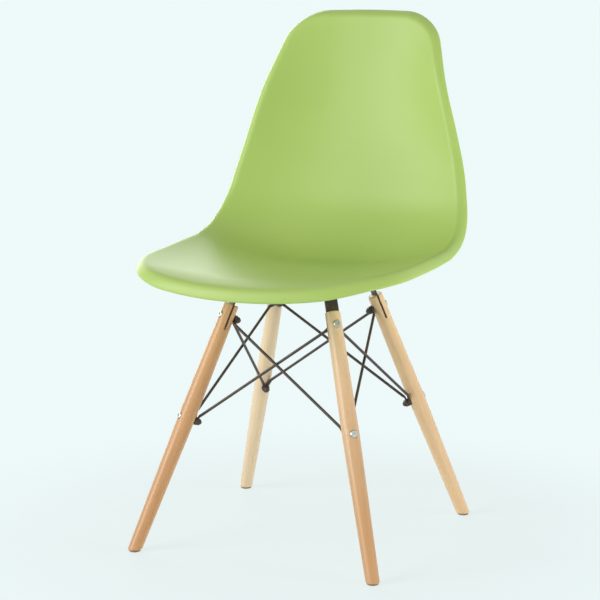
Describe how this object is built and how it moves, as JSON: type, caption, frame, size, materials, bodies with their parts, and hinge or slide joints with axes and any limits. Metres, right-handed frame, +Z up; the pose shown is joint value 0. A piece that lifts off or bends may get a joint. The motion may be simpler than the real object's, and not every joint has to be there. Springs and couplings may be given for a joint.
{
  "type": "side chair",
  "caption": "Side chair with a moulded plastic bucket seat on splayed turned wooden legs tied by a crossed steel frame and crossed wire braces.",
  "frame": {"origin": "middle of the chair's box at floor height, under the seat", "axes": "+Z is up and the chair's front faces -Y, so +X is on the right of someone who looks at the front of the chair"},
  "size_m": [0.4482, 0.5152, 0.8118],
  "materials": {
    "green_shell": "moulded polypropylene, satin, coloured through in a soft yellow-green",
    "beech": "turned light beech with a clear satin lacquer",
    "dark_steel": "steel with a dark brown-black satin coat",
    "bright_steel": "pale plated steel screws and bolts",
    "brass": "plain brass threaded insert",
    "black_rubber": "black rubber spacer",
    "dark_nylon": "dark brown nylon glide"
  },
  "bodies": {
    "root": {"seat_shell": "green_shell", "leg_front_right": "beech", "leg_rear_right": "beech", "leg_rear_left": "beech", "leg_front_left": "beech", "frame_bar_over": "dark_steel", "frame_bar_joggled": "dark_steel", "frame_crossing_welds": "dark_steel", "brace_right_outer": "dark_steel", "brace_right_inner": "dark_steel", "brace_rear_outer": "dark_steel", "brace_rear_inner": "dark_steel", "brace_left_outer": "dark_steel", "brace_left_inner": "dark_steel", "brace_front_outer": "dark_steel", "brace_front_inner": "dark_steel", "upper_leg_bolts": "bright_steel", "lower_leg_bolts": "bright_steel", "upper_cap_nuts": "dark_steel", "lower_cap_nuts": "dark_steel", "shell_inserts": "brass", "seat_screws": "bright_steel", "seat_screw_washers": "bright_steel", "glide_nails": "bright_steel", "seat_spacer_front_right": "black_rubber", "seat_spacer_rear_right": "black_rubber", "seat_spacer_rear_left": "black_rubber", "seat_spacer_front_left": "black_rubber", "foot_glide_front_right": "dark_nylon", "foot_glide_rear_right": "dark_nylon", "foot_glide_rear_left": "dark_nylon", "foot_glide_front_left": "dark_nylon"}
  },
  "joints": []
}
